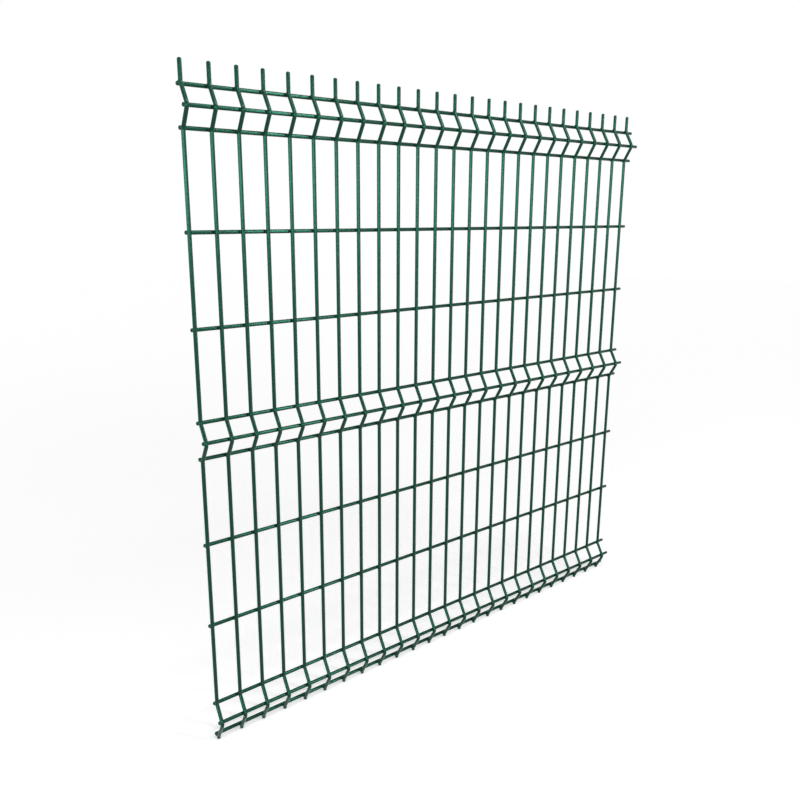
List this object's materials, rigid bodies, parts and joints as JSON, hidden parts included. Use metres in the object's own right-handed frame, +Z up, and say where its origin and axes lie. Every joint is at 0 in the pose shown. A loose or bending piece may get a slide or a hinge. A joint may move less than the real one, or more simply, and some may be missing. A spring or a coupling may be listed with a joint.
{
  "type": "welded mesh fence panel",
  "caption": "Folded welded wire mesh fence panel, upright and cross wires coated green, with spiked top, for fixing between posts.",
  "frame": {"origin": "centre of the cut foot of the middle upright, where the panel stands on the ground", "axes": "+Z up, +X to the right seen from the front, -Y to the front, where the ridges of the folds point"},
  "size_m": [1.5052, 0.0411, 1.5108],
  "materials": {
    "upright_coat": "glossy moss green polyester powder coat on galvanised steel wire",
    "cross_wire_coat": "glossy moss green polyester powder coat on galvanised steel wire"
  },
  "bodies": {
    "root": {"upright_01": "upright_coat", "upright_02": "upright_coat", "upright_03": "upright_coat", "upright_04": "upright_coat", "upright_05": "upright_coat", "upright_06": "upright_coat", "upright_07": "upright_coat", "upright_08": "upright_coat", "upright_09": "upright_coat", "upright_10": "upright_coat", "upright_11": "upright_coat", "upright_12": "upright_coat", "upright_13": "upright_coat", "upright_14": "upright_coat", "upright_15": "upright_coat", "upright_16": "upright_coat", "upright_17": "upright_coat", "upright_18": "upright_coat", "upright_19": "upright_coat", "upright_20": "upright_coat", "upright_21": "upright_coat", "upright_22": "upright_coat", "upright_23": "upright_coat", "upright_24": "upright_coat", "upright_25": "upright_coat", "fold_1_lower_wire": "cross_wire_coat", "fold_1_ridge_wire": "cross_wire_coat", "fold_1_upper_wire": "cross_wire_coat", "fold_2_lower_wire": "cross_wire_coat", "fold_2_ridge_wire": "cross_wire_coat", "fold_2_upper_wire": "cross_wire_coat", "fold_3_lower_wire": "cross_wire_coat", "fold_3_ridge_wire": "cross_wire_coat", "fold_3_upper_wire": "cross_wire_coat", "field_1_row_1_wire": "cross_wire_coat", "field_1_row_2_wire": "cross_wire_coat", "field_2_row_1_wire": "cross_wire_coat", "field_2_row_2_wire": "cross_wire_coat"}
  },
  "joints": []
}
